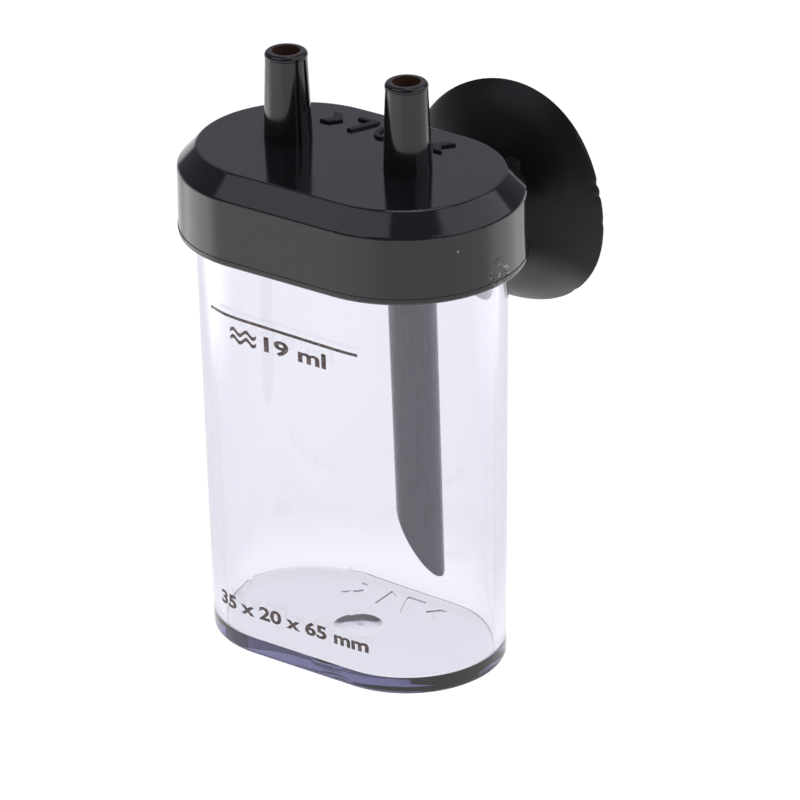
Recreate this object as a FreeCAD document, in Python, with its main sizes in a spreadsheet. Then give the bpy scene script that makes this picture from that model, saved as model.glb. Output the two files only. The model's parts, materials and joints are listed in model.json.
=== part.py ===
import FreeCAD, Part
import math
import os

import Sketcher

# A bubble counter for aquarium carbon dioxide, in millimetres.
# Frame: the origin is at the middle of the underside of the cup, +Z is up, X runs along the long
# side of the cup, -Y is the printed front, and +Y is the back, where the suction cup is.

Vector = FreeCAD.Vector
Rotation = FreeCAD.Rotation

document = FreeCAD.newDocument("BubbleCounter")

# ---------------------------------------------------------------- driving dimensions
SIZES = {
    # the obround that the walls follow: two half circles, this far apart
    "straight": 13.0,
    # cup
    "cup_height": 52.45,
    "cup_foot_radius": 10.33,
    "cup_rim_radius": 11.0,
    "cup_wall": 1.3,
    "cup_floor": 1.6,
    "foot_round": 0.5,
    "floor_round": 0.25,
    "gate_radius": 2.4,
    "gate_rise": 0.26,
    # cap shell: a little longer than the cup at its +X end
    "cap_straight": 13.33,
    "cap_shift": 0.165,
    "cap_bottom": 45.81,
    "cap_shoulder": 53.15,
    "cap_top": 55.37,
    "cap_bottom_radius": 12.66,
    "cap_shoulder_radius": 12.60,
    "cap_top_radius": 10.55,
    "cap_roof": 1.7,
    "cap_edge_round": 0.45,
    "cavity_radius": 11.15,
    "plug_radius": 9.5,
    "plug_wall": 1.1,
    "plug_depth": 4.2,
    "lip_height": 0.75,
    "lip_step": 0.06,
    "lip_round": 0.45,
    # hose nipples
    "inlet_offset": 7.12,
    "outlet_offset": -8.06,
    "nipple_back": 0.40,
    "nipple_foot_radius": 2.55,
    "nipple_neck_radius": 2.2,
    "nipple_bead_radius": 2.26,
    "nipple_height": 9.6,
    "nipple_bead_height": 0.62,
    "nipple_bead_flare": 0.1,
    "nipple_bead_round": 0.46,
    "nipple_bore_radius": 1.48,
    # dip tube and its socket
    "tube_offset": 7.13,
    "tube_lean": 1.16,
    "tube_top_radius": 2.57,
    "tube_tip_radius": 2.4,
    "tube_bore_radius": 1.45,
    "tube_length": 43.92,
    "tube_cut_angle": 59.0,
    "tube_cut_turn": 10.0,
    "socket_depth": 4.85,
    "socket_bore_radius": 2.58,
    "socket_radius": 3.6,
    # gasket
    "gasket_outer_radius": 11.05,
    "gasket_inner_radius": 9.6,
    "gasket_height": 1.2,
    # bracket for the suction cup
    "bracket_middle": 4.6,
    "bracket_half_width": 5.2,
    "bracket_rib": 1.35,
    "bracket_root": 11.6,
    "bracket_back": 16.6,
    "bracket_plate": 1.4,
    "bracket_knee": 2.4,
    "bracket_top": 51.2,
    "bracket_step": 0.3,
    "bracket_foot": 41.0,
    "slot_radius": 2.3,
    "slot_slack": 0.0002,
    # suction cup
    "rim_back": 22.0,
    "neck_height": 44.5,
    "rim_radius": 12.4,
    "rim_lip": 0.4,
    "dome_depth": 5.1,
    "dome_top_radius": 3.2,
    "dome_curve": 40.0,
    "hollow_depth": 3.4,
    "hollow_radius": 12.1,
    "hollow_curve": 23.2,
    "neck_radius": 2.0,
    "head_radius": 3.6,
    "head_near": 7.0,
    "head_far": 9.05,
    "head_round": 0.7,
    # moulded marks: numerals between two chevrons, raised on the cap and sunk under the cup
    "numeral_height": 3.4,
    "numeral_width": 2.4,
    "chevron_height": 2.5,
    "chevron_width": 2.1,
    "mark_pitch": 3.36,
    "cap_mark_stroke": 0.58,
    "cap_mark_rise": 0.28,
    "cap_mark_round": 0.1,
    # parts of a stroke width that shape the numerals
    "seven_corner": 1.4,
    "one_flag": 1.6,
    "cap_mark_back": 6.7,
    "floor_mark_stroke": 0.45,
    "floor_mark_depth": 0.2,
    "floor_mark_back": 6.7,
}

sheet = document.addObject("Spreadsheet::Sheet", "Sizes")
for row, (alias, value) in enumerate(SIZES.items(), start=1):
    sheet.set(f"A{row}", alias)
    sheet.set(f"B{row}", str(value))
    sheet.setAlias(f"B{row}", alias)
document.recompute()


def size(alias):
    """The value of one cell of the sheet."""
    return float(getattr(sheet, alias))


# ---------------------------------------------------------------- helpers
def new_body(label):
    body = document.addObject("PartDesign::Body", label)
    body.Label = label
    return body


def origin_plane(body, role):
    return next(item for item in body.Origin.OriginFeatures if item.Role == role)


def new_sketch(body, name, role, right=None, up=None, out=None):
    """A sketch on an origin plane of the body, moved by expressions in the plane's own directions."""
    sketch = body.newObject("Sketcher::SketchObject", name)
    sketch.AttachmentSupport = [(origin_plane(body, role), "")]
    sketch.MapMode = "FlatFace"
    for letter, formula in (("x", right), ("y", up), ("z", out)):
        if formula is not None:
            sketch.setExpression(f".AttachmentOffset.Base.{letter}", formula)
    return sketch


def name_and_bind(sketch, index, name, formula):
    sketch.renameConstraint(index, name)
    sketch.setExpression(f"Constraints.{name}", formula)


def add_obround(sketch, tag, radius_formula, radius, straight="straight"):
    """Two equal half circles joined by two straight sides, centred on the sketch's origin."""
    half = size(straight) / 2
    normal = Vector(0, 0, 1)
    right = sketch.addGeometry(
        Part.ArcOfCircle(Part.Circle(Vector(half, 0), normal, radius), -math.pi / 2, math.pi / 2))
    top = sketch.addGeometry(Part.LineSegment(Vector(half, radius), Vector(-half, radius)))
    left = sketch.addGeometry(
        Part.ArcOfCircle(Part.Circle(Vector(-half, 0), normal, radius), math.pi / 2, 3 * math.pi / 2))
    bottom = sketch.addGeometry(Part.LineSegment(Vector(-half, -radius), Vector(half, -radius)))
    for first, second in ((right, top), (top, left), (left, bottom), (bottom, right)):
        sketch.addConstraint(Sketcher.Constraint("Tangent", first, 2, second, 1))
    sketch.addConstraint(Sketcher.Constraint("Equal", right, left))
    sketch.addConstraint(Sketcher.Constraint("PointOnObject", right, 3, -1))
    sketch.addConstraint(Sketcher.Constraint("Symmetric", right, 3, left, 3, -1, 1))
    radius_index = sketch.addConstraint(Sketcher.Constraint("Radius", right, radius))
    name_and_bind(sketch, radius_index, f"{tag}_radius", radius_formula)
    straight_index = sketch.addConstraint(Sketcher.Constraint("DistanceX", left, 3, right, 3, 2 * half))
    name_and_bind(sketch, straight_index, f"{tag}_straight", f"Sizes.{straight}")


def add_circle(sketch, tag, radius_formula, radius):
    """A circle on the sketch's origin."""
    circle = sketch.addGeometry(Part.Circle(Vector(0, 0), Vector(0, 0, 1), radius))
    sketch.addConstraint(Sketcher.Constraint("Coincident", circle, 3, -1, 1))
    index = sketch.addConstraint(Sketcher.Constraint("Radius", circle, radius))
    name_and_bind(sketch, index, f"{tag}_radius", radius_formula)


def add_outline(sketch, tag, corners, arcs=()):
    """A closed outline. Each corner is (x, x formula, y, y formula), where a formula of None means zero,
    so the corner lies on that axis. arcs maps a side's number to (radius, formula, bulge side)."""
    arcs = dict(arcs)
    points = [Vector(x, y) for x, _, y, _ in corners]
    sides = []
    for number, start in enumerate(points):
        end = points[(number + 1) % len(points)]
        if number in arcs:
            radius, formula, side = arcs[number]
            half_chord = (end - start).Length / 2
            across = Vector(start.y - end.y, end.x - start.x).normalize() * side
            sagitta = radius - math.sqrt(radius ** 2 - half_chord ** 2)
            middle = (start + end) / 2 + across * sagitta
            sides.append(sketch.addGeometry(Part.Arc(start, middle, end)))
        else:
            sides.append(sketch.addGeometry(Part.LineSegment(start, end)))
    ends = []
    for number, side in enumerate(sides):
        # an arc keeps its own anticlockwise sense, so its ends are found by place
        if number in arcs and (sketch.getPoint(side, 1) - points[number]).Length > 1e-6:
            ends.append((2, 1))
        else:
            ends.append((1, 2))
    for number, side in enumerate(sides):
        following = (number + 1) % len(sides)
        sketch.addConstraint(Sketcher.Constraint(
            "Coincident", side, ends[number][1], sides[following], ends[following][0]))
    for number, (x, x_formula, y, y_formula) in enumerate(corners):
        spot = (sides[number], ends[number][0])
        for kind, axis, value, formula in (("DistanceX", -2, x, x_formula), ("DistanceY", -1, y, y_formula)):
            if formula is None:
                sketch.addConstraint(Sketcher.Constraint("PointOnObject", *spot, axis))
            else:
                index = sketch.addConstraint(Sketcher.Constraint(kind, -1, 1, *spot, value))
                name_and_bind(sketch, index, f"{tag}_{kind[-1].lower()}_{number}", formula)
    for number, (radius, formula, _) in arcs.items():
        index = sketch.addConstraint(Sketcher.Constraint("Radius", sides[number], radius))
        name_and_bind(sketch, index, f"{tag}_arc_{number}", formula)


def corner(x_formula, y_formula):
    """A corner of an outline, with its place worked out from its two formulas."""
    return (value_of(x_formula), x_formula, value_of(y_formula), y_formula)


def value_of(formula):
    """The number that a formula gives now; None stands for zero."""
    if formula is None:
        return 0.0
    answer = sheet.evalExpression(formula)
    return float(getattr(answer, "Value", answer))


def obround_sketch(body, name, radius_formula, height_formula):
    sketch = new_sketch(body, name, "XY_Plane", out=height_formula)
    add_obround(sketch, "wall", radius_formula, value_of(radius_formula))
    return sketch


def cap_obround_sketch(body, name, radius_formula, height_formula):
    """The longer obround that the cap's skirt follows."""
    sketch = new_sketch(body, name, "XY_Plane", right="Sizes.cap_shift", out=height_formula)
    add_obround(sketch, "wall", radius_formula, value_of(radius_formula), "cap_straight")
    return sketch


def revolve(body, name, kind, sketch):
    feature = body.newObject(kind, name)
    feature.Profile = sketch
    feature.ReferenceAxis = (sketch, ["V_Axis"])
    feature.Angle = 360
    return feature


def pad(body, name, sketch, length_formula, upward=True):
    feature = body.newObject("PartDesign::Pad", name)
    feature.Profile = sketch
    feature.setExpression("Length", length_formula)
    feature.Reversed = not upward
    return feature


def pocket(body, name, sketch, length_formula, upward=False):
    feature = body.newObject("PartDesign::Pocket", name)
    feature.Profile = sketch
    feature.setExpression("Length", length_formula)
    feature.Reversed = upward
    return feature


def must_shrink(body, before):
    """A cut that points away from the solid shows no error, so the volume is compared."""
    document.recompute()
    after = body.Shape.Volume
    if after >= before - 1e-6:
        raise RuntimeError(f"a cut in {body.Label} removed nothing")
    return after


def edges_at_height(shape, height):
    """Names of the edges that lie in one horizontal plane."""
    names = []
    for number, edge in enumerate(shape.Edges, start=1):
        box = edge.BoundBox
        if abs(box.ZMin - height) < 1e-3 and abs(box.ZMax - height) < 1e-3:
            names.append(f"Edge{number}")
    return names


def upright_faces(shape, bottom, top, largest_half_width=1000.0):
    """Names of the wall faces that run all the way from one height to another."""
    names = []
    for number, face in enumerate(shape.Faces, start=1):
        low = min(vertex.Z for vertex in face.Vertexes)
        high = max(vertex.Z for vertex in face.Vertexes)
        reach = max(abs(vertex.Y) for vertex in face.Vertexes)
        if abs(low - bottom) < 1e-3 and abs(high - top) < 1e-3 and reach <= largest_half_width:
            names.append(f"Face{number}")
    return names


def draft(body, name, base, face_names, angle_formula, adds_material):
    """Leans wall faces about the plane Z = 0, so that they add or take away material above it."""
    feature = body.newObject("PartDesign::Draft", name)
    feature.Base = (base, face_names)
    feature.NeutralPlane = (origin_plane(body, "XY_Plane"), [""])
    feature.Reversed = adds_material
    feature.setExpression("Angle", angle_formula)
    document.recompute()
    return feature


def fillet(body, name, base, edge_names, radius_formula):
    feature = body.newObject("PartDesign::Fillet", name)
    feature.Base = (base, edge_names)
    feature.setExpression("Radius", radius_formula)
    document.recompute()
    return feature


def chamfer(body, name, base, edge_names, inward_formula, upright_formula):
    """A bevel with one size on the level face and another on the wall."""
    feature = body.newObject("PartDesign::Chamfer", name)
    feature.Base = (base, edge_names)
    feature.ChamferType = "Two distances"
    feature.setExpression("Size", upright_formula)
    feature.setExpression("Size2", inward_formula)
    document.recompute()
    return feature


# ---------------------------------------------------------------- moulded marks
def closed_loop(sketch, points):
    for start, end in zip(points, points[1:] + points[:1]):
        sketch.addGeometry(Part.LineSegment(start, end))


def chevron(sketch, middle_x, middle_y, direction, stroke):
    """An arrow head with strokes of even width; direction +1 points right, -1 left."""
    half_height = size("chevron_height") / 2
    half_width = size("chevron_width") / 2
    slant = math.hypot(half_height, 2 * half_width) / half_height * stroke
    outline = [(-half_width, half_height), (slant - half_width, half_height), (half_width, 0),
               (slant - half_width, -half_height), (-half_width, -half_height), (half_width - slant, 0)]
    closed_loop(sketch, [Vector(middle_x + direction * x, middle_y + y) for x, y in outline])


def numeral_seven(sketch, middle_x, middle_y, hand, stroke):
    half_height = size("numeral_height") / 2
    half_width = size("numeral_width") / 2
    under_bar = half_height - stroke
    outline = [(-half_width, half_height), (half_width, half_height), (half_width, under_bar),
               (0, -half_height), (-stroke, -half_height), (half_width - size("seven_corner") * stroke, under_bar),
               (-half_width, under_bar)]
    closed_loop(sketch, [Vector(middle_x + hand * x, middle_y + y) for x, y in outline])


def numeral_one(sketch, middle_x, middle_y, hand, stroke):
    """An upright with a short flag at its head."""
    half_height = size("numeral_height") / 2
    half_stroke = stroke / 2
    flag = size("one_flag") * stroke
    outline = [(half_stroke, half_height), (half_stroke, -half_height), (-half_stroke, -half_height),
               (-half_stroke, half_height - flag), (-half_stroke - flag, half_height - 2 * flag),
               (-half_stroke - flag, half_height - flag)]
    closed_loop(sketch, [Vector(middle_x + hand * x, middle_y + y) for x, y in outline])


def numeral_zero(sketch, middle_x, middle_y, hand, stroke):
    """Two ellipses, one inside the other; the numeral is the same from both sides, so hand isn't used."""
    half_height = size("numeral_height") / 2
    half_width = size("numeral_width") / 2
    for inset in (0, stroke):
        sketch.addGeometry(Part.Ellipse(
            Vector(middle_x, middle_y + half_height - inset),
            Vector(middle_x + half_width - inset, middle_y),
            Vector(middle_x, middle_y)))


def mark_sketch(body, name, height_formula, back, numerals, hand, stroke):
    """A row of numerals between two chevrons; hand is -1 for a row that is read from below."""
    sketch = new_sketch(body, f"{name}Outline", "XY_Plane", out=height_formula)
    count = len(numerals) + 2
    pitch = size("mark_pitch")
    places = [hand * (index - (count - 1) / 2) * pitch for index in range(count)]
    chevron(sketch, places[0], back, hand, stroke)
    for place, numeral in zip(places[1:-1], numerals):
        numeral(sketch, place, back, hand, stroke)
    chevron(sketch, places[-1], back, -hand, stroke)
    return sketch


# ---------------------------------------------------------------- reservoir cup
def make_reservoir_cup():
    body = new_body("reservoir_cup")
    lean = "atan((Sizes.cup_rim_radius - Sizes.cup_foot_radius) / Sizes.cup_height)"
    block = pad(body, "Block", obround_sketch(body, "BlockOutline", "Sizes.cup_foot_radius", None),
                "Sizes.cup_height")
    document.recompute()
    walls = upright_faces(block.Shape, 0, size("cup_height"))
    outer = draft(body, "OuterDraft", block, walls, lean, True)
    foot = fillet(body, "FootRound", outer, edges_at_height(outer.Shape, 0), "Sizes.foot_round")

    before = foot.Shape.Volume
    inner_radius = "Sizes.cup_foot_radius - Sizes.cup_wall"
    hollow = pocket(body, "Hollow", obround_sketch(body, "HollowOutline", inner_radius, "Sizes.cup_floor"),
                    "Sizes.cup_height", upward=True)
    before = must_shrink(body, before)
    walls = upright_faces(hollow.Shape, size("cup_floor"), size("cup_height"), value_of(inner_radius) + 0.01)
    inner = draft(body, "InnerDraft", hollow, walls, lean, False)
    must_shrink(body, before)
    floor_edges = edges_at_height(inner.Shape, size("cup_floor"))
    fillet(body, "FloorRound", inner, floor_edges, "Sizes.floor_round")

    # the gate: a low dome inside the cup, with a dish of the same curve under it
    dome = new_sketch(body, "GateDomeOutline", "XZ_Plane")
    add_dome(dome, "dome", "Sizes.cup_floor")
    revolve(body, "GateDome", "PartDesign::Revolution", dome)
    document.recompute()
    before = body.Shape.Volume
    dish = new_sketch(body, "GateDishOutline", "XZ_Plane")
    add_dome(dish, "dish", None)
    revolve(body, "GateDish", "PartDesign::Groove", dish)
    before = must_shrink(body, before)
    mark = mark_sketch(body, "FloorMark", None, size("floor_mark_back"), [numeral_seven, numeral_one], -1,
                       size("floor_mark_stroke"))
    pocket(body, "FloorMark", mark, "Sizes.floor_mark_depth", upward=True)
    must_shrink(body, before)
    return body


def add_dome(sketch, tag, foot_formula):
    """Half the section of a low dome that stands at a height, to be turned about the upright axis."""
    radius = size("gate_radius")
    rise = size("gate_rise")
    curve = "(Sizes.gate_radius ^ 2 + Sizes.gate_rise ^ 2) / (2 * Sizes.gate_rise)"
    foot = foot_formula or "0"
    top = f"{foot} + Sizes.gate_rise"
    corners = [corner(None, foot_formula), corner("Sizes.gate_radius", foot_formula), corner(None, top)]
    curve_radius = (radius ** 2 + rise ** 2) / (2 * rise)
    add_outline(sketch, tag, corners, {1: (curve_radius, curve, -1)})


# ---------------------------------------------------------------- cap
def make_cap():
    body = new_body("cap")
    slope = ("(Sizes.cap_bottom_radius - Sizes.cap_shoulder_radius)"
             " / (Sizes.cap_shoulder - Sizes.cap_bottom)")
    # the skirt leans about the plane Z = 0, so the block has the radius that the skirt would have there
    block_radius = f"Sizes.cap_bottom_radius + Sizes.cap_bottom * {slope}"
    block = pad(body, "Block", cap_obround_sketch(body, "BlockOutline", block_radius, "Sizes.cap_bottom"),
                "Sizes.cap_top - Sizes.cap_bottom")
    document.recompute()
    walls = upright_faces(block.Shape, size("cap_bottom"), size("cap_top"))
    skirt = draft(body, "SkirtDraft", block, walls, f"atan({slope})", False)
    bevel = chamfer(body, "Bevel", skirt, edges_at_height(skirt.Shape, size("cap_top")),
                    "Sizes.cap_shoulder_radius - Sizes.cap_top_radius", "Sizes.cap_top - Sizes.cap_shoulder")
    round_edges = [f"Edge{number}" for number, edge in enumerate(bevel.Shape.Edges, start=1)
                   if edge.BoundBox.ZLength < 0.01 and edge.BoundBox.ZMin > size("cap_shoulder") - 0.5]
    fillet(body, "EdgeRound", bevel, round_edges, "Sizes.cap_edge_round")
    lip = cap_obround_sketch(body, "LipOutline", "Sizes.cap_bottom_radius + Sizes.lip_step", "Sizes.cap_bottom")
    lip_pad = pad(body, "Lip", lip, "Sizes.lip_height")
    document.recompute()
    bottom_edges = edges_at_height(lip_pad.Shape, size("cap_bottom"))
    fillet(body, "LipRound", lip_pad, bottom_edges, "Sizes.lip_round")

    before = body.Shape.Volume
    roof_underside = "Sizes.cap_top - Sizes.cap_roof"
    cavity = cap_obround_sketch(body, "CavityOutline", "Sizes.cavity_radius", "Sizes.cap_bottom")
    pocket(body, "Cavity", cavity, f"{roof_underside} - Sizes.cap_bottom", upward=True)
    must_shrink(body, before)

    # the ring that plugs into the mouth of the cup
    ring = new_sketch(body, "PlugOutline", "XY_Plane", out=f"{roof_underside} - Sizes.plug_depth")
    add_obround(ring, "outer", "Sizes.plug_radius", size("plug_radius"))
    add_obround(ring, "inner", "Sizes.plug_radius - Sizes.plug_wall", size("plug_radius") - size("plug_wall"))
    pad(body, "Plug", ring, "Sizes.plug_depth + 0.5 * Sizes.cap_roof")

    # the socket for the dip tube, hung from the roof
    socket = new_sketch(body, "SocketOutline", "XY_Plane", right="Sizes.tube_offset",
                        up="Sizes.nipple_back", out=f"{roof_underside} - Sizes.socket_depth")
    add_circle(socket, "socket", "Sizes.socket_radius", size("socket_radius"))
    pad(body, "Socket", socket, "Sizes.socket_depth + 0.5 * Sizes.cap_roof")

    for name, offset in (("Inlet", "Sizes.inlet_offset"), ("Outlet", "Sizes.outlet_offset")):
        add_nipple(body, name, offset)
    add_bracket(body)
    document.recompute()

    before = body.Shape.Volume
    for name, offset in (("Inlet", "Sizes.inlet_offset"), ("Outlet", "Sizes.outlet_offset")):
        bore = new_sketch(body, f"{name}BoreOutline", "XY_Plane", right=offset,
                          up="Sizes.nipple_back", out="Sizes.cap_top + Sizes.nipple_height")
        add_circle(bore, "bore", "Sizes.nipple_bore_radius", size("nipple_bore_radius"))
        pocket(body, f"{name}Bore", bore, "Sizes.nipple_height + Sizes.cap_roof + Sizes.lip_height")
        before = must_shrink(body, before)

    # the socket's bore leans with the tube, about the point where the tube meets the roof
    bore = body.newObject("PartDesign::SubtractiveCylinder", "SocketBore")
    bore.AttachmentSupport = [(origin_plane(body, "XY_Plane"), "")]
    bore.MapMode = "FlatFace"
    bore.setExpression("Radius", "Sizes.socket_bore_radius")
    bore.setExpression("Height", "Sizes.socket_depth + Sizes.plug_wall")
    turned = Rotation(Vector(0, 1, 0), 180 - size("tube_lean"))
    bore.AttachmentOffset = FreeCAD.Placement(Vector(0, 0, 0), turned)
    bore.setExpression(".AttachmentOffset.Base.x", "Sizes.tube_offset")
    bore.setExpression(".AttachmentOffset.Base.y", "Sizes.nipple_back")
    bore.setExpression(".AttachmentOffset.Base.z", roof_underside)
    must_shrink(body, before)

    mark = mark_sketch(body, "CapMark", "Sizes.cap_top - Sizes.cap_mark_rise", size("cap_mark_back"),
                       [numeral_seven, numeral_zero, numeral_one], 1, size("cap_mark_stroke"))
    raised = pad(body, "CapMark", mark, "2 * Sizes.cap_mark_rise")
    document.recompute()
    mark_edges = edges_at_height(raised.Shape, size("cap_top") + size("cap_mark_rise"))
    fillet(body, "CapMarkRound", raised, mark_edges, "Sizes.cap_mark_round")
    return body


def add_nipple(body, name, offset):
    """A hose nipple: a taper with a low rounded bead at its tip, turned about its own axis."""
    outline = new_sketch(body, f"{name}Outline", "XZ_Plane", right=offset,
                         up="Sizes.cap_top", out="-Sizes.nipple_back")
    sunk = "-0.5 * Sizes.cap_roof"
    bead_foot = "Sizes.nipple_height - Sizes.nipple_bead_height"
    tip = "Sizes.nipple_height"
    corners = [
        corner(None, sunk),
        corner("Sizes.nipple_foot_radius", sunk),
        corner("Sizes.nipple_foot_radius", None),
        corner("Sizes.nipple_neck_radius", bead_foot),
        corner("Sizes.nipple_bead_radius", f"{bead_foot} + Sizes.nipple_bead_flare"),
        corner("Sizes.nipple_bead_radius", f"{tip} - Sizes.nipple_bead_round"),
        corner("Sizes.nipple_bead_radius - Sizes.nipple_bead_round", tip),
        corner(None, tip),
    ]
    bead_round = (size("nipple_bead_round"), "Sizes.nipple_bead_round", -1)
    add_outline(outline, name.lower(), corners, {5: bead_round})
    revolve(body, f"{name}Nipple", "PartDesign::Revolution", outline)


def add_bracket(body):
    """Two ribs and a plate behind the skirt. The plate has a slot, open at its foot, for the neck of
    the suction cup."""
    middle = "Sizes.bracket_middle"
    half_width = "Sizes.bracket_half_width"
    for name, near in (("LeftRib", f"{middle} - {half_width}"),
                       ("RightRib", f"{middle} + {half_width} - Sizes.bracket_rib")):
        side = new_sketch(body, f"{name}Outline", "YZ_Plane", out=near)
        knee = "Sizes.bracket_back - Sizes.bracket_knee"
        add_outline(side, name.lower(), [
            corner("Sizes.bracket_root", "Sizes.cap_bottom"),
            corner("Sizes.bracket_root", "Sizes.bracket_top"),
            corner("Sizes.bracket_back", "Sizes.bracket_top"),
            corner("Sizes.bracket_back", "Sizes.bracket_foot"),
            corner(knee, "Sizes.bracket_foot"),
        ])
        pad(body, name, side, "Sizes.bracket_rib")

    plate = new_sketch(body, "PlateOutline", "XZ_Plane", right=middle, out="-Sizes.bracket_back")
    inner_half = f"{half_width} - 0.5 * Sizes.bracket_rib"
    slot = "Sizes.slot_radius"
    slot_curve = "Sizes.slot_radius + Sizes.slot_slack"
    top = "Sizes.bracket_top - Sizes.bracket_step"
    foot = "Sizes.bracket_foot"
    add_outline(plate, "plate", [
        corner(f"-({inner_half})", foot),
        corner(f"-({inner_half})", top),
        corner(inner_half, top),
        corner(inner_half, foot),
        corner(slot, foot),
        corner(slot, "Sizes.neck_height"),
        corner(f"-{slot}", "Sizes.neck_height"),
        corner(f"-{slot}", foot),
    ], {5: (value_of(slot_curve), slot_curve, -1)})
    pad(body, "Plate", plate, "Sizes.bracket_plate")


# ---------------------------------------------------------------- cap gasket
def make_cap_gasket():
    body = new_body("cap_gasket")
    outline = new_sketch(body, "GasketOutline", "XY_Plane")
    add_obround(outline, "outer", "Sizes.gasket_outer_radius", size("gasket_outer_radius"))
    add_obround(outline, "inner", "Sizes.gasket_inner_radius", size("gasket_inner_radius"))
    pad(body, "Ring", outline, "Sizes.gasket_height")
    body.setExpression(".Placement.Base.z", "Sizes.cap_top - Sizes.cap_roof - Sizes.gasket_height")
    return body


# ---------------------------------------------------------------- dip tube
def make_dip_tube():
    """Built downwards from its top end, then leaned and put in its socket."""
    body = new_body("dip_tube")
    outline = new_sketch(body, "WallOutline", "XZ_Plane")
    foot = "-Sizes.tube_length"
    add_outline(outline, "wall", [
        corner("Sizes.tube_bore_radius", None),
        corner("Sizes.tube_top_radius", None),
        corner("Sizes.tube_tip_radius", foot),
        corner("Sizes.tube_bore_radius", foot),
    ])
    revolve(body, "Wall", "PartDesign::Revolution", outline)
    document.recompute()

    # the slanted end: everything under a line that climbs from the tip is cut away
    before = body.Shape.Volume
    wedge = new_sketch(body, "SlantOutline", "XZ_Plane")
    far_side = "-1.2 * Sizes.tube_tip_radius"
    climb = "2.2 * Sizes.tube_tip_radius * tan(Sizes.tube_cut_angle * 1 deg)"
    add_outline(wedge, "slant", [
        corner("Sizes.tube_tip_radius", foot),
        corner(far_side, f"{foot} + {climb}"),
        corner(far_side, f"{foot} - Sizes.tube_tip_radius"),
        corner("Sizes.tube_tip_radius", f"{foot} - Sizes.tube_tip_radius"),
    ])
    slant = pocket(body, "Slant", wedge, "4 * Sizes.tube_top_radius")
    slant.Midplane = True
    must_shrink(body, before)

    # the slant's long point is turned a little towards the back before the tube is leaned
    turn = Rotation(Vector(0, 0, 1), size("tube_cut_turn"))
    lean = Rotation(Vector(0, 1, 0), -size("tube_lean"))
    body.Placement = FreeCAD.Placement(Vector(0, 0, 0), lean.multiply(turn))
    body.setExpression(".Placement.Base.x", "Sizes.tube_offset")
    body.setExpression(".Placement.Base.y", "Sizes.nipple_back")
    body.setExpression(".Placement.Base.z", "Sizes.cap_top - Sizes.cap_roof")
    return body


# ---------------------------------------------------------------- suction cup
def make_suction_cup():
    """Turned about its own Z axis, with its rim in the plane Z = 0, then laid over to face +Y."""
    body = new_body("suction_cup")
    outline = new_sketch(body, "CupOutline", "XZ_Plane")
    head_round = size("head_round")
    add_outline(outline, "cup", [
        corner(None, "-Sizes.hollow_depth"),
        corner("Sizes.hollow_radius", None),
        corner("Sizes.rim_radius", None),
        corner("Sizes.rim_radius", "-Sizes.rim_lip"),
        corner("Sizes.dome_top_radius", "-Sizes.dome_depth"),
        corner("Sizes.neck_radius", "-Sizes.dome_depth"),
        corner("Sizes.neck_radius", "-Sizes.head_near"),
        corner("Sizes.head_radius - Sizes.head_round", "-Sizes.head_near"),
        corner("Sizes.head_radius", "-Sizes.head_near - Sizes.head_round"),
        corner("Sizes.head_radius", "-Sizes.head_far + Sizes.head_round"),
        corner("Sizes.head_radius - Sizes.head_round", "-Sizes.head_far"),
        corner(None, "-Sizes.head_far"),
    ], {
        0: (size("hollow_curve"), "Sizes.hollow_curve", -1),
        3: (size("dome_curve"), "Sizes.dome_curve", 1),
        7: (head_round, "Sizes.head_round", -1),
        9: (head_round, "Sizes.head_round", -1),
    })
    revolve(body, "Cup", "PartDesign::Revolution", outline)
    body.Placement = FreeCAD.Placement(Vector(0, 0, 0), Rotation(Vector(1, 0, 0), -90))
    body.setExpression(".Placement.Base.x", "Sizes.bracket_middle")
    body.setExpression(".Placement.Base.y", "Sizes.rim_back")
    body.setExpression(".Placement.Base.z", "Sizes.neck_height")
    return body


# ---------------------------------------------------------------- build, check and write
parts = [make_reservoir_cup(), make_cap(), make_cap_gasket(), make_dip_tube(), make_suction_cup()]
document.recompute()

for item in document.Objects:
    if "Invalid" in item.State or "Error" in item.State:
        raise RuntimeError(f"{item.Name} failed: {item.State}")
for part in parts:
    if part.Shape.isNull() or not part.Shape.isValid() or len(part.Shape.Solids) != 1:
        raise RuntimeError(f"{part.Label} has no sound single solid")
    box = part.Shape.optimalBoundingBox(False)
    print(f"{part.Label}: {part.Shape.Volume:.1f} mm3, x {box.XMin:.2f} to {box.XMax:.2f}, "
          f"y {box.YMin:.2f} to {box.YMax:.2f}, z {box.ZMin:.2f} to {box.ZMax:.2f}")

os.makedirs("parts", exist_ok=True)
for part in parts:
    part.Shape.exportStep(f"parts/{part.Label}.step")
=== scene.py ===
"""The looks of the bubble counter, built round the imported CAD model. Metres; the frame is the CAD's."""
import json
import math

import bmesh
import bpy
from mathutils import Matrix, Vector


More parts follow.
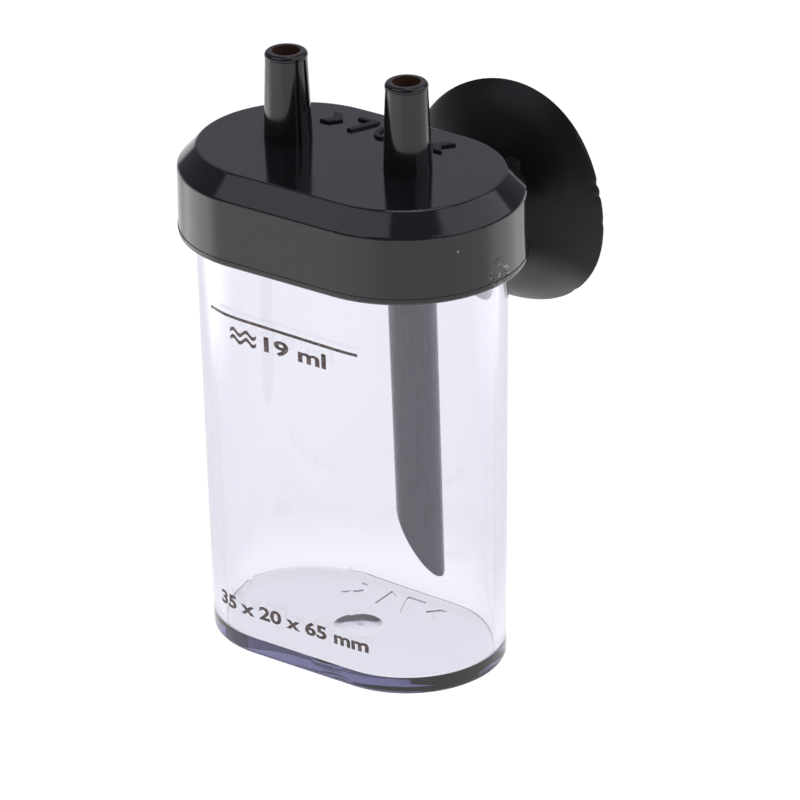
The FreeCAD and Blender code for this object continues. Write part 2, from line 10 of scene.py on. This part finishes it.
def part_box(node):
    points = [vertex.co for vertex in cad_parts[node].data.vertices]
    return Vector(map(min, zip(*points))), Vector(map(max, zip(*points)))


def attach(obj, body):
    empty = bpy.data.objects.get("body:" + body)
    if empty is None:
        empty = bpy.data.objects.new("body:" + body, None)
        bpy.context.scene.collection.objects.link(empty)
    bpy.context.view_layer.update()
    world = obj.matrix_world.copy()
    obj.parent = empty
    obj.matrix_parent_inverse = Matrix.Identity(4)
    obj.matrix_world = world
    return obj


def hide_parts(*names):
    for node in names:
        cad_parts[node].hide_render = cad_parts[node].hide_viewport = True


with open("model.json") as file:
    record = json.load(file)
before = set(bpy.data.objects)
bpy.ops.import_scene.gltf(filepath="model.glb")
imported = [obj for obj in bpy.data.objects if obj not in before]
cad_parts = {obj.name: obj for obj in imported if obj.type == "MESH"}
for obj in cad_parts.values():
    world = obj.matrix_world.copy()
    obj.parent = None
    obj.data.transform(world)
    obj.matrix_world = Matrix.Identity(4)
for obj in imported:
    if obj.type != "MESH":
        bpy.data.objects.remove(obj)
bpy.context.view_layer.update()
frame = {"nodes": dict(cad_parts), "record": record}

MM = 0.001
STRAIGHT = 13.0 * MM            # distance between the centres of the cup's two round ends
CUP_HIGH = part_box("reservoir_cup")[1]
CAP_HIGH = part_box("cap")[1]
RIM_RADIUS = CUP_HIGH.y         # the outer wall at the cup's rim
FOOT_RADIUS = 10.33 * MM        # the outer wall carried down to the foot
CUP_HEIGHT = CUP_HIGH.z


def add_object(name, data):
    """A new object in the scene."""
    obj = bpy.data.objects.new(name, data)
    bpy.context.scene.collection.objects.link(obj)
    return obj


# ---------------------------------------------------------------- node helpers
# a Mix node has a set of sockets for each kind of data, and these are its colour ones
MIX_FACTOR, MIX_BASE, MIX_COLOUR, MIX_RESULT = 0, 6, 7, 2


class Shader:
    """Short names for building one node material."""

    def __init__(self, name):
        self.material = bpy.data.materials.new(name)
        self.material.use_nodes = True
        self.tree = self.material.node_tree
        self.surface = self.tree.nodes["Principled BSDF"]
        self.output = self.tree.nodes["Material Output"]

    def node(self, kind, **settings):
        """A new node. A setting is the name of an input or of one of the node's own properties."""
        made = self.tree.nodes.new(kind)
        for name, value in settings.items():
            if name in made.inputs:
                made.inputs[name].default_value = value
            else:
                setattr(made, name, value)
        return made

    def link(self, source, target):
        self.tree.links.new(source, target)

    def feed(self, made, *values):
        """Fills a node's first inputs in order, each with a value or with another node's output."""
        for socket, value in zip(made.inputs, values):
            if isinstance(value, bpy.types.NodeSocket):
                self.link(value, socket)
            else:
                socket.default_value = value

    def calc(self, operation, *values):
        """The result of a math node."""
        made = self.node("ShaderNodeMath", operation=operation)
        self.feed(made, *values)
        return made.outputs["Value"]

    def vector_calc(self, operation, *values):
        """A vector math node, whose result is its Vector or its Value."""
        made = self.node("ShaderNodeVectorMath", operation=operation)
        self.feed(made, *values)
        return made

    def set(self, **values):
        """Sets inputs of the surface shader; an underscore stands for a space in an input's name."""
        for name, value in values.items():
            self.surface.inputs[name.replace("_", " ")].default_value = value

    def point(self):
        """The point in the object's own space, so a pattern stays put when a body moves."""
        return self.node("ShaderNodeTexCoord").outputs["Object"]

    def noise(self, scale, detail=3.0, roughness=0.5, stretch=None):
        """Noise of about scale features a metre. stretch multiplies the scale along each axis."""
        texture = self.node("ShaderNodeTexNoise", Scale=scale, Detail=detail, Roughness=roughness)
        source = self.point()
        if stretch is not None:
            mapping = self.node("ShaderNodeMapping")
            mapping.inputs["Scale"].default_value = stretch
            self.link(source, mapping.inputs["Vector"])
            source = mapping.outputs["Vector"]
        self.link(source, texture.inputs["Vector"])
        return texture.outputs["Fac"]

    def ramp(self, source, ends, span):
        """Goes from one grey or colour to the other while the source crosses the span."""
        ramp = self.node("ShaderNodeValToRGB")
        for element, position, colour in zip(ramp.color_ramp.elements, span, ends):
            element.position = position
            if not isinstance(colour, tuple):
                colour = (colour, colour, colour)
            element.color = (*colour, 1.0)
        self.link(source, ramp.inputs["Fac"])
        return ramp.outputs["Color"]

    def patch(self, place, reach):
        """1 close to a point, falling to 0 at a distance of reach."""
        away = self.vector_calc("DISTANCE", self.point(), place)
        near = self.node("ShaderNodeMapRange", interpolation_type="SMOOTHSTEP")
        near.inputs["From Min"].default_value = reach
        near.inputs["From Max"].default_value = 0.5 * reach
        self.link(away.outputs["Value"], near.inputs["Value"])
        return near.outputs["Result"]

    def column(self, x, y, radius):
        """1 inside an upright column and 0 outside it."""
        flat = self.vector_calc("MULTIPLY", self.point(), (1.0, 1.0, 0.0))
        away = self.vector_calc("DISTANCE", flat.outputs["Vector"], (x, y, 0.0))
        return self.calc("LESS_THAN", away.outputs["Value"], radius)

    def raised_marks(self):
        """1 on the tops of the marks that stand on the cap, behind the nipples."""
        split = self.node("ShaderNodeSeparateXYZ")
        self.feed(split, self.point())
        behind = self.calc("GREATER_THAN", split.outputs["Y"], MARKS_FROM_Y)
        above = self.calc("GREATER_THAN", split.outputs["Z"], MARKS_FROM_Z)
        return self.calc("MULTIPLY", behind, above)

    def mix(self, factor, base, colour):
        """The base colour, turned into the fixed colour where the factor is 1."""
        mix = self.node("ShaderNodeMix", data_type="RGBA")
        self.link(factor, mix.inputs[MIX_FACTOR])
        self.link(base, mix.inputs[MIX_BASE])
        mix.inputs[MIX_COLOUR].default_value = colour
        return mix.outputs[MIX_RESULT]

    def bump(self, height, strength, distance, base=None):
        """A bumpy normal, on top of the base normal if there is one."""
        bump = self.node("ShaderNodeBump", Strength=strength, Distance=distance)
        self.link(height, bump.inputs["Height"])
        if base is not None:
            self.link(base, bump.inputs["Normal"])
        return bump.outputs["Normal"]


# ---------------------------------------------------------------- materials
# the darker and the lighter tone that each material drifts between
CAP_TONES = ((0.0080, 0.0077, 0.0088), (0.0110, 0.0106, 0.0120))
TUBE_TONES = ((0.068, 0.065, 0.094), (0.080, 0.077, 0.110))
SEAL_TONES = ((0.020, 0.020, 0.021), (0.035, 0.035, 0.036))
SUCTION_TONES = ((0.0028, 0.0026, 0.0027), (0.0052, 0.0048, 0.0048))
INK_TONES = ((0.050, 0.032, 0.030), (0.22, 0.16, 0.155))
PAPER_TONES = (0.29, 0.31)
CLEAR_TINT = (0.18, 0.168, 0.46, 1.0)   # the violet that thick plastic takes on
CLEAR_DENSITY = 110.0


def clear_plastic():
    """Polished clear moulding, faintly violet through its thick edges."""
    shader = Shader("clear_plastic")
    shader.set(Base_Color=(1.0, 1.0, 1.0, 1.0), Roughness=0.0, IOR=1.57, Transmission_Weight=1.0)
    ripple = shader.noise(90.0, detail=1.0, stretch=(1.0, 1.0, 0.35))
    normal = shader.bump(ripple, strength=0.05, distance=0.0004)
    shader.link(normal, shader.surface.inputs["Normal"])
    body = shader.node("ShaderNodeVolumeAbsorption")
    body.inputs["Color"].default_value = CLEAR_TINT
    body.inputs["Density"].default_value = CLEAR_DENSITY
    shader.link(body.outputs["Volume"], shader.output.inputs["Volume"])
    return shader.material


SCUFF_PLACE = (19.2 * MM, -1.2 * MM, 47.3 * MM)     # on the skirt, low on its +X end
SCUFF_REACH = 1.9 * MM
SPECK_PLACE = (17.9 * MM, -6.1 * MM, 51.2 * MM)     # a grain of white dust on the skirt
SPECK_REACH = 0.12 * MM
MOUNTS = {mount["name"]: Vector(mount["pos_m"]) for mount in frame["record"]["mounts"]}
NIPPLE_CENTRES = (MOUNTS["inlet_nipple"].x, MOUNTS["outlet_nipple"].x)
NIPPLE_BACK = MOUNTS["inlet_nipple"].y
BORE_RADIUS = 1.52 * MM                 # a hair more than the bore's own
NIPPLE_HEIGHT = 9.6 * MM
CAP_TOP = CAP_HIGH.z - NIPPLE_HEIGHT    # the flat top that the nipples stand on
MARKS_FROM_Y = 3.8 * MM                 # the raised marks are all further back than this
MARKS_FROM_Z = CAP_TOP + 0.05 * MM
WORN = (0.13, 0.13, 0.135, 1.0)
DUST = (0.5, 0.5, 0.5, 1.0)
DULL_BLACK = (0.015, 0.014, 0.0135, 1.0)
DULL_ROUGHNESS = (0.55, 0.55, 0.55, 1.0)
BORE_BROWN = (0.085, 0.05, 0.032, 1.0)
# a painted reflection of the white floor, laid low on the suction cup
PAINTED_FLOOR_REFLECTION = (0.105, 0.100, 0.100, 1.0)


def black_plastic():
    """Glossy black moulding with faint flow ripple, a scuff low on its +X end and a grain of dust. The
    raised marks are duller, and the hose nipples' bores are coloured brown inside."""
    shader = Shader("black_plastic")
    shader.set(IOR=1.52)
    tone = shader.ramp(shader.noise(700.0, detail=4.0), CAP_TONES, span=(0.3, 0.75))
    gloss = shader.ramp(shader.noise(260.0, detail=5.0), (0.09, 0.15), span=(0.35, 0.8))

    crumbs = shader.ramp(shader.noise(1500.0, detail=4.0, roughness=0.65), (0.0, 1.0), span=(0.49, 0.54))
    scuff = shader.calc("MULTIPLY", shader.patch(SCUFF_PLACE, SCUFF_REACH), crumbs)
    scuffed = shader.mix(scuff, tone, WORN)
    dusted = shader.mix(shader.patch(SPECK_PLACE, SPECK_REACH), scuffed, DUST)
    marks = shader.raised_marks()
    colour = shader.mix(marks, dusted, DULL_BLACK)
    # colours the inside of each nipple's bore brown
    for centre_x in NIPPLE_CENTRES:
        bore = shader.column(centre_x, NIPPLE_BACK, BORE_RADIUS)
        colour = shader.mix(bore, colour, BORE_BROWN)
    shader.link(colour, shader.surface.inputs["Base Color"])
    shader.link(shader.mix(marks, gloss, DULL_ROUGHNESS), shader.surface.inputs["Roughness"])
    ripple = shader.bump(shader.noise(160.0, detail=2.0), strength=0.05, distance=0.0003)
    torn = shader.bump(scuff, strength=0.9, distance=0.00016, base=ripple)
    shader.link(torn, shader.surface.inputs["Normal"])
    return shader.material


def tube_plastic():
    """Satin grey-blue tube with faint draw lines along its length."""
    shader = Shader("tube_plastic")
    shader.set(IOR=1.5)
    lines = shader.noise(1800.0, detail=2.0, stretch=(1.0, 1.0, 0.04))
    tone = shader.ramp(lines, TUBE_TONES, span=(0.3, 0.75))
    shader.link(tone, shader.surface.inputs["Base Color"])
    streaks = shader.noise(900.0, detail=3.0, stretch=(1.0, 1.0, 0.1))
    gloss = shader.ramp(streaks, (0.24, 0.32), span=(0.3, 0.8))
    shader.link(gloss, shader.surface.inputs["Roughness"])
    return shader.material


def rubber(name, tones, roughness, specular, painted_reflection=None):
    """Moulded rubber: a slow change between two tones, a finer change of roughness and a very fine grain.
    The last argument is the place and reach of a pale patch, a painted reflection of the floor."""
    shader = Shader(name)
    shader.set(IOR=1.5, Specular_IOR_Level=specular)
    tone = shader.ramp(shader.noise(350.0, detail=5.0), tones, span=(0.3, 0.75))
    if painted_reflection is not None:
        # paints a pale reflection of the floor into the rubber's colour
        tone = shader.mix(shader.patch(*painted_reflection), tone, PAINTED_FLOOR_REFLECTION)
    shader.link(tone, shader.surface.inputs["Base Color"])
    gloss = shader.ramp(shader.noise(900.0, detail=4.0), roughness, span=(0.3, 0.8))
    shader.link(gloss, shader.surface.inputs["Roughness"])
    grain = shader.bump(shader.noise(2500.0, detail=3.0), strength=0.12, distance=0.00004)
    shader.link(grain, shader.surface.inputs["Normal"])
    return shader.material


def ink():
    """Brown-black pad-printed ink, a little uneven."""
    shader = Shader("ink")
    shader.set(Roughness=0.5, IOR=1.45)
    tone = shader.ramp(shader.noise(4200.0, detail=3.0), INK_TONES, span=(0.42, 0.66))
    shader.link(tone, shader.surface.inputs["Base Color"])
    return shader.material


FLOOR_GLOW = 0.91
# pools of light painted into the floor's glow, as (place, reach, extra glow): a painted pool where the left
# softbox lights the floor, a painted pool of light under the clear cup, and two painted pools beyond the
# ends of the cap, which shine in the skirt's two ends
PAINTED_LIGHT_POOLS = (((-0.10, -0.17, 0.0), 0.18, 0.28),
               ((0.0, 0.0, 0.0), 0.032, 0.17),
               ((-0.130, -0.038, 0.0), 0.07, 1.0),
               ((0.085, 0.10, 0.0), 0.07, 0.55))


def floor_paper():
    """White paper with an even glow and painted pools of light where it glows more; from below it is clear.
    """
    shader = Shader("floor_paper")
    shader.set(Roughness=0.9, Specular_IOR_Level=0.0)
    tone = shader.ramp(shader.noise(3.0, detail=2.0), PAPER_TONES, span=(0.2, 0.8))
    shader.link(tone, shader.surface.inputs["Base Color"])
    glow = FLOOR_GLOW
    # paints the pools of light into the floor's glow
    for place, reach, extra in PAINTED_LIGHT_POOLS:
        glow = shader.calc("MULTIPLY_ADD", shader.patch(place, reach), extra, glow)
    shader.set(Emission_Color=(1.0, 1.0, 1.0, 1.0))
    shader.link(glow, shader.surface.inputs["Emission Strength"])
    below = shader.node("ShaderNodeNewGeometry").outputs["Backfacing"]
    clear = shader.node("ShaderNodeBsdfTransparent").outputs["BSDF"]
    mix = shader.node("ShaderNodeMixShader")
    shader.feed(mix, below, shader.surface.outputs["BSDF"], clear)
    shader.link(mix.outputs["Shader"], shader.output.inputs["Surface"])
    return shader.material


# ---------------------------------------------------------------- CAD nodes
def dress(node, material):
    """Gives a CAD node its material."""
    data = frame["nodes"][node].data
    data.materials.clear()
    data.materials.append(material)


# ---------------------------------------------------------------- suction cup
SUCTION_LOW, SUCTION_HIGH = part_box("suction_cup")
SUCTION_RADIUS = (SUCTION_HIGH.x - SUCTION_LOW.x) / 2
SUCTION_AXIS_X = (SUCTION_HIGH.x + SUCTION_LOW.x) / 2
SUCTION_AXIS_Z = (SUCTION_HIGH.z + SUCTION_LOW.z) / 2
SUCTION_DEPTH = SUCTION_HIGH.y - SUCTION_LOW.y
CONE_CURVE = 60.0 * MM         # the nearly straight inner part of the outside
ROLL_CURVE = 9.0 * MM          # the outer part, which rolls over to the rim
HOLLOW_CURVE = 23.2 * MM       # the hollow that grips the glass
# the soft rim's waves: how many round it, how far it stands out, and where the wave peaks in degrees
RIM_WAVES = ((1, 0.13 * MM, 153), (2, 0.06 * MM, 90), (3, 0.32 * MM, 79), (4, 0.12 * MM, 54))
# nicks in the rim: where, in degrees from +X towards +Z, how deep and how wide in degrees
RIM_NICKS = ((17.0, 0.28 * MM, 1.6), (10.5, 0.20 * MM, 1.3), (-4.0, 0.10 * MM, 1.5),
             (-48.0, 0.08 * MM, 2.0))
AROUND = 240                    # points in a ring
ON_AXIS = 0.01 * MM             # a smaller radius than this is one point on the axis
CREASE_ANGLE = math.radians(50)
# where the painted reflection of the floor lies: near the suction cup's bottom edge
PAINTED_REFLECTION_PLACE = (SUCTION_AXIS_X + 4.0 * MM, SUCTION_HIGH.y - 1.5 * MM, SUCTION_LOW.z + 0.5 * MM)
PAINTED_REFLECTION_REACH = 9.0 * MM


def arc_points(start, end, radius, count, bulge):
    """Points on an arc between two (radius, depth) points. It bulges away from the rim plane if bulge
    is 1 and towards it if bulge is -1."""
    start, end = Vector(start), Vector(end)
    chord = end - start
    across = Vector((chord.y, -chord.x)).normalized() * bulge
    centre = (start + end) / 2 - across * math.sqrt(radius ** 2 - (chord.length / 2) ** 2)
    first = start - centre
    turn = first.angle_signed(end - centre)
    points = []
    for index in range(count + 1):
        angle = -turn * index / count
        c, s = math.cos(angle), math.sin(angle)
        points.append((centre.x + c * first.x - s * first.y, centre.y + s * first.x + c * first.y))
    return points


def suction_profile():
    """Half the section of the suction cup as (radius, depth) pairs, from the axis at the back of its head
    to the axis inside its hollow. Depth is counted from the rim plane."""
    head, head_far, head_near, head_round = 3.6 * MM, SUCTION_DEPTH, 7.0 * MM, 0.7 * MM
    neck, neck_round, shoulder, dome_depth = 2.0 * MM, 0.3 * MM, 3.2 * MM, 5.1 * MM
    lip, lip_bevel, lip_width, hollow_depth = 0.2 * MM, 0.03 * MM, 0.3 * MM, 3.4 * MM
    profile = [(0.0, head_far), (0.5 * head, head_far)]
    profile += arc_points((head - head_round, head_far), (head, head_far - head_round), head_round, 5, -1)
    profile += arc_points((head, head_near + head_round), (head - head_round, head_near), head_round, 5, -1)
    profile += [(neck, head_near), (neck, dome_depth + neck_round), (neck + neck_round, dome_depth)]
    roll_start = (9.6 * MM, 2.35 * MM)
    profile += arc_points((shoulder, dome_depth), roll_start, CONE_CURVE, 12, -1)
    profile += arc_points(roll_start, (SUCTION_RADIUS, lip), ROLL_CURVE, 10, -1)[1:]
    profile += [(SUCTION_RADIUS - lip_bevel, 0.0)]
    profile += arc_points((SUCTION_RADIUS - lip_width, 0.0), (0.0, hollow_depth), HOLLOW_CURVE, 16, 1)
    return profile


WAVES_FADE = 4                  # the waves die away slowly from the rim inwards, and the nicks at once
NICKS_FADE = 60


def rim_stretch(angle, share):
    """How far the surface stands out from a true circle at an angle in radians. share is how far out
    the point is, 1 being the rim."""
    waves = sum(size * math.cos(count * (angle - math.radians(peak)))
                for count, size, peak in RIM_WAVES)
    nicks = sum(depth * math.exp(-((math.degrees(angle) - place) / width) ** 2)
                for place, depth, width in RIM_NICKS)
    return waves * share ** WAVES_FADE - nicks * share ** NICKS_FADE


def add_suction_cup(material):
    """The suction cup with the uneven rim of soft rubber. It stands for the CAD node."""
    mesh = bmesh.new()
    rings = []
    for radius, depth in suction_profile():
        y = SUCTION_HIGH.y - depth
        if radius < ON_AXIS:
            rings.append([mesh.verts.new((SUCTION_AXIS_X, y, SUCTION_AXIS_Z))])
            continue
        ring = []
        for step in range(AROUND):
            angle = 2 * math.pi * step / AROUND - math.pi
            reach = radius + rim_stretch(angle, radius / SUCTION_RADIUS)
            ring.append(mesh.verts.new((SUCTION_AXIS_X + reach * math.cos(angle), y,
                                        SUCTION_AXIS_Z + reach * math.sin(angle))))
        rings.append(ring)
    for near, far in zip(rings, rings[1:]):
        for step in range(AROUND):
            following = (step + 1) % AROUND
            if len(near) == 1:
                mesh.faces.new((near[0], far[step], far[following]))
            elif len(far) == 1:
                mesh.faces.new((near[step], far[0], near[following]))
            else:
                mesh.faces.new((near[step], far[step], far[following], near[following]))
    bmesh.ops.recalc_face_normals(mesh, faces=mesh.faces)
    data = bpy.data.meshes.new("suction_cup_rubber")
    mesh.to_mesh(data)
    mesh.free()
    data.shade_smooth()
    data.set_sharp_from_angle(angle=CREASE_ANGLE)
    obj = add_object("suction_cup_rubber", data)
    data.materials.append(material)
    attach(obj, "suction_cup_body")
    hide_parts("suction_cup")


# ---------------------------------------------------------------- prints on the cup's front
def wall_point(along, height, lift):
    """A point on the outer wall of the cup. along is the distance round the wall from the middle of the
    front, growing towards +X; lift is how far the point stands off the wall."""
    radius = FOOT_RADIUS + (RIM_RADIUS - FOOT_RADIUS) * height / CUP_HEIGHT
    half = STRAIGHT / 2
    if abs(along) <= half:
        return Vector((along, -radius - lift, height))
    side = math.copysign(1.0, along)
    angle = (abs(along) - half) / radius
    reach = radius + lift
    return Vector((side * (half + math.sin(angle) * reach), -math.cos(angle) * reach, height))


INK_THICKNESS = 0.02 * MM
LONGEST_EDGE = 0.5 * MM         # a slab's longer edges are halved to follow the wall, up to MOST_CUTS times
MOST_CUTS = 3
WELD_DISTANCE = 0.0001 * MM


def closed_slab(name, outline_mesh, material, shape_point):
    """Turns a flat mesh in X and Y into a thin closed slab laid on the wall by shape_point."""
    mesh = bmesh.new()
    mesh.from_mesh(outline_mesh)
    bmesh.ops.remove_doubles(mesh, verts=mesh.verts, dist=WELD_DISTANCE)
    for _ in range(MOST_CUTS):
        long_edges = [edge for edge in mesh.edges if edge.calc_length() > LONGEST_EDGE]
        if not long_edges:
            break
        bmesh.ops.subdivide_edges(mesh, edges=long_edges, cuts=1, use_grid_fill=True)
    bmesh.ops.triangulate(mesh, faces=mesh.faces)
    mesh.verts.index_update()
    points = [shape_point(vertex.co.x, vertex.co.y, lift)
              for lift in (0.0, INK_THICKNESS) for vertex in mesh.verts]
    rise = len(mesh.verts)      # from a point's number to the number of the one above it
    faces = []
    for face in mesh.faces:
        corners = [vertex.index for vertex in face.verts]
        faces += [[corner + rise for corner in corners], corners[::-1]]
    for edge in mesh.edges:
        if edge.is_boundary:
            loop = edge.link_loops[0]
            near, far = loop.vert.index, loop.link_loop_next.vert.index
            faces.append([near, far, far + rise, near + rise])
    flat_shaded = not any(face.smooth for face in mesh.faces)
    mesh.free()
    data = bpy.data.meshes.new(name)
    data.from_pydata(points, [], faces, shade_flat=flat_shaded)
    obj = add_object(name, data)
    data.materials.append(material)
    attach(obj, "reservoir")


BOLD = 0.03                     # how far a letter's outline is pushed out, as a share of its size


def text_mesh(words, height, width):
    """A flat mesh of the words, squeezed or stretched to the stated height and width."""
    curve = bpy.data.curves.new("words", "FONT")
    curve.body = words
    curve.size = 1.0
    curve.offset = BOLD
    curve.resolution_u = 4
    obj = add_object("words", curve)
    bpy.context.view_layer.update()
    mesh = bpy.data.meshes.new_from_object(obj)
    bpy.data.objects.remove(obj)
    xs = [vertex.co.x for vertex in mesh.vertices]
    ys = [vertex.co.y for vertex in mesh.vertices]
    left, right, low, high = min(xs), max(xs), min(ys), max(ys)
    for vertex in mesh.vertices:
        vertex.co.x = (vertex.co.x - left) / (right - left) * width
        vertex.co.y = (vertex.co.y - low) / (high - low) * height
        vertex.co.z = 0.0
    return mesh


WAVE_STEPS = 32


def wave_mesh(length, height, thickness):
    """A flat wavy ribbon of two full waves."""
    points = []
    for step in range(WAVE_STEPS + 1):
        x = length * step / WAVE_STEPS
        y = height * math.sin(4 * math.pi * step / WAVE_STEPS)
        points += [(x, y - thickness / 2, 0), (x, y + thickness / 2, 0)]
    faces = [(2 * step, 2 * step + 2, 2 * step + 3, 2 * step + 1) for step in range(WAVE_STEPS)]
    mesh = bpy.data.meshes.new("wave")
    mesh.from_pydata(points, [], faces)
    return mesh


def bar_mesh(length, thickness):
    """A flat straight bar."""
    mesh = bpy.data.meshes.new("bar")
    corners = [(0, 0, 0), (length, 0, 0), (length, thickness, 0), (0, thickness, 0)]
    mesh.from_pydata(corners, [], [(0, 1, 2, 3)])
    return mesh


def print_on_cup(name, flat, start, foot, material, slope=0.0):
    """Lays a flat mesh on the front of the cup. It starts at a distance along the wall from the middle of
    the front, with its foot at a height; slope tips it a little, as a loose pad print is."""
    def shape_point(x, y, lift):
        return wall_point(start + x, foot + y + slope * x, lift)
    closed_slab(name, flat, material, shape_point)


# each print's start and foot
FILL_LINE_PLACE = (-10.9 * MM, 39.2 * MM)
WAVES_PLACE = (-7.8 * MM, 36.9 * MM)
VOLUME_PLACE = (-3.4 * MM, 36.4 * MM)
SIZES_PLACE = (-11.3 * MM, 4.6 * MM)
FILL_LINE_SLOPE = -0.02
WAVE_PITCH = 0.85 * MM          # from one wavy line up to the next


def add_prints(material):
    """The fill line, two waves and the volume below it, and the sizes at the foot."""
    line = bar_mesh(length=19.3 * MM, thickness=0.34 * MM)
    print_on_cup("fill_line_print", line, *FILL_LINE_PLACE, material, FILL_LINE_SLOPE)
    for row in range(2):
        wave = wave_mesh(length=3.4 * MM, height=0.28 * MM, thickness=0.42 * MM)
        start, foot = WAVES_PLACE
        print_on_cup(f"fill_wave_print_{row + 1}", wave, start, foot + row * WAVE_PITCH, material)
    volume = text_mesh("19 ml", height=1.75 * MM, width=7.9 * MM)
    print_on_cup("fill_volume_print", volume, *VOLUME_PLACE, material)
    sizes = text_mesh("35 x 20 x 65 mm", height=1.6 * MM, width=20.0 * MM)
    print_on_cup("size_print", sizes, *SIZES_PLACE, material)


# ---------------------------------------------------------------- camera, light and floor
def direction(azimuth, elevation):
    """The unit vector towards an azimuth, counted from -Y towards +X, and an elevation, in degrees."""
    a, e = math.radians(azimuth), math.radians(elevation)
    return Vector((math.sin(a) * math.cos(e), -math.cos(a) * math.cos(e), math.sin(e)))


CAMERA_AZIMUTH = 36.155         # degrees, like the other two
CAMERA_ELEVATION = 25.677
CAMERA_ROLL = -1.058
CAMERA_DISTANCE = 0.5919
AIM_HEIGHT = 32.5 * MM
AIM_RIGHT = 4.831 * MM
AIM_UP = -4.509 * MM
LENS = 255.81
SENSOR_WIDTH = 36.0
NEAREST_SEEN, FURTHEST_SEEN = 0.01, 20.0


def add_camera():
    """The camera looks a little to the right of the object's axis and a little below its middle."""
    back = direction(CAMERA_AZIMUTH, CAMERA_ELEVATION)
    level_right = direction(CAMERA_AZIMUTH + 90, 0)
    level_up = back.cross(level_right)
    roll = math.radians(CAMERA_ROLL)
    right = level_right * math.cos(roll) + level_up * math.sin(roll)
    up = level_up * math.cos(roll) - level_right * math.sin(roll)
    aim = Vector((0.0, 0.0, AIM_HEIGHT)) + right * AIM_RIGHT + up * AIM_UP
    data = bpy.data.cameras.new("camera")
    data.lens = LENS
    data.sensor_width = SENSOR_WIDTH
    data.clip_start = NEAREST_SEEN
    data.clip_end = FURTHEST_SEEN
    camera = add_object("camera", data)
    turn = Matrix((right, up, back)).transposed().to_4x4()
    camera.matrix_world = Matrix.Translation(aim + back * CAMERA_DISTANCE) @ turn
    bpy.context.scene.camera = camera


COOL = (0.97, 0.94, 1.08)
WHITE = (1.0, 1.0, 1.0)
LIT_POINT = Vector((0.0, 0.0, 0.04))
# the panels: name, azimuth, elevation, distance, width, height, brightness of the face and tint
SOFTBOXES = (("left_softbox", -30, 50, 0.9, 0.80, 0.62, 0.80, COOL),
             ("right_softbox", 115, 38, 0.9, 1.35, 0.72, 0.95, COOL),
             ("back_card", -146, 27, 1.2, 1.3, 1.0, 0.26, COOL),
             ("overhead", 180, 78, 0.9, 0.4, 0.4, 1.5, WHITE))


def add_softbox(name, azimuth, elevation, distance, width, height, brightness, tint):
    """A soft panel that faces the object. brightness is how bright its face looks, 1 being white."""
    data = bpy.data.lights.new(name, "AREA")
    data.shape = "RECTANGLE"
    data.size = width
    data.size_y = height
    data.energy = brightness * math.pi * width * height
    data.color = tint
    lamp = add_object(name, data)
    towards = direction(azimuth, elevation)
    turn = towards.to_track_quat("Z", "Y").to_matrix().to_4x4()
    lamp.matrix_world = Matrix.Translation(LIT_POINT + towards * distance) @ turn


ROOM_TINT = (0.97, 0.94, 1.14, 1.0)
ROOM_BRIGHTNESS = 0.18
FLOOR_LEVEL = -0.02 * MM        # just clear of the cup's underside
FLOOR_REACH = 4.0
BOUNCES = 24                    # enough for light to cross the clear cup's many surfaces


def add_studio():
    """The dim room, the soft panels and the paper floor."""
    world = bpy.data.worlds.new("studio")
    bpy.context.scene.world = world
    world.use_nodes = True
    background = world.node_tree.nodes["Background"]
    background.inputs["Color"].default_value = ROOM_TINT
    background.inputs["Strength"].default_value = ROOM_BRIGHTNESS
    for softbox in SOFTBOXES:
        add_softbox(*softbox)

    mesh = bpy.data.meshes.new("floor")
    corners = [(FLOOR_REACH * x, FLOOR_REACH * y, 0) for x, y in ((-1, -1), (1, -1), (1, 1), (-1, 1))]
    mesh.from_pydata(corners, [], [(0, 1, 2, 3)])
    floor = add_object("floor", mesh)
    floor.location.z = FLOOR_LEVEL
    mesh.materials.append(floor_paper())

    scene = bpy.context.scene
    scene.view_settings.view_transform = "Standard"
    scene.cycles.use_denoising = True
    scene.cycles.max_bounces = BOUNCES
    scene.cycles.transmission_bounces = BOUNCES
    scene.cycles.transparent_max_bounces = BOUNCES


# ---------------------------------------------------------------- put together
add_camera()
add_studio()

dress("reservoir_cup", clear_plastic())
dress("cap", black_plastic())
dress("dip_tube", tube_plastic())
dress("cap_gasket", rubber("seal_rubber", SEAL_TONES, roughness=(0.45, 0.6), specular=0.5))
add_suction_cup(rubber("cup_rubber", SUCTION_TONES, roughness=(0.36, 0.44), specular=0.30,
                       painted_reflection=(PAINTED_REFLECTION_PLACE, PAINTED_REFLECTION_REACH)))

add_prints(ink())
